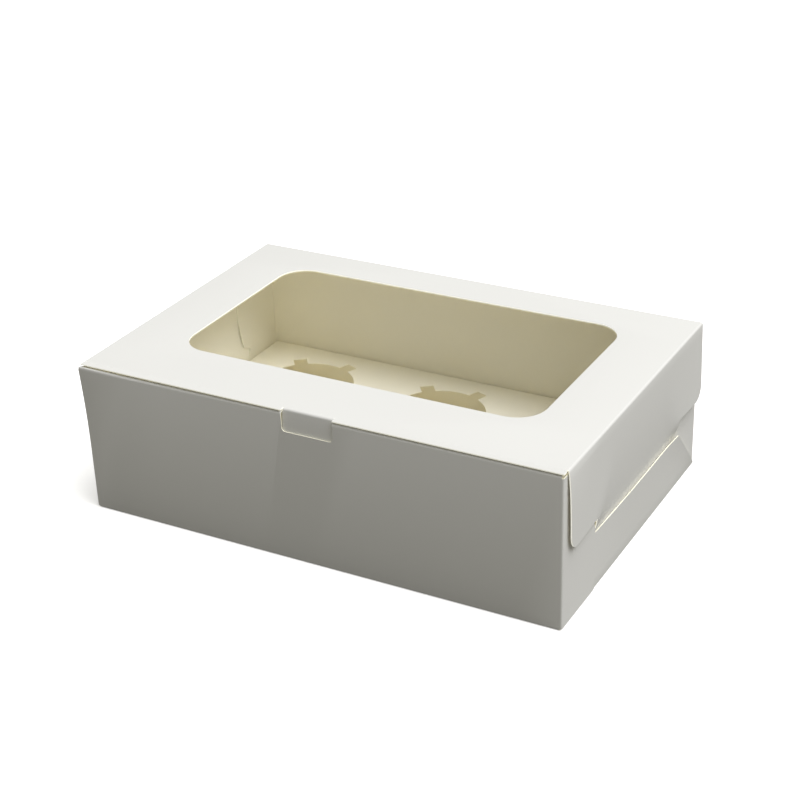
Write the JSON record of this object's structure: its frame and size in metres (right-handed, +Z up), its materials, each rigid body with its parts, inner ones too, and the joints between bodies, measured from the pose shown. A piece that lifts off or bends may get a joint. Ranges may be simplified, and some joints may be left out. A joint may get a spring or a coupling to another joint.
{
  "type": "windowed cupcake box",
  "caption": "White folded card cupcake box with a hinged windowed lid, tuck-in side tongues and front tab, and a card insert with notched round holes.",
  "frame": {"origin": "on the table under the middle of the closed box", "axes": "+X along the front to the right, +Y from the front tab to the lid's fold at the back, +Z up"},
  "size_m": [0.2406, 0.16, 0.075],
  "materials": {
    "white_card": "coated white outside, bare cream card inside, semi-matt",
    "clear_film": "thin clear plastic film",
    "insert_card": "uncoated cream board, matt"
  },
  "bodies": {
    "base": {"carton_base": "white_card", "cupcake_insert": "insert_card"},
    "lid": {"carton_lid": "white_card", "window_film": "clear_film"}
  },
  "joints": [
    {"name": "lid_hinge", "type": "hinge", "parent": "base", "child": "lid", "pos_m": [0, 0.07975, 0.07475], "axis": [-1, 0, 0], "range_deg": [0, 180]}
  ]
}
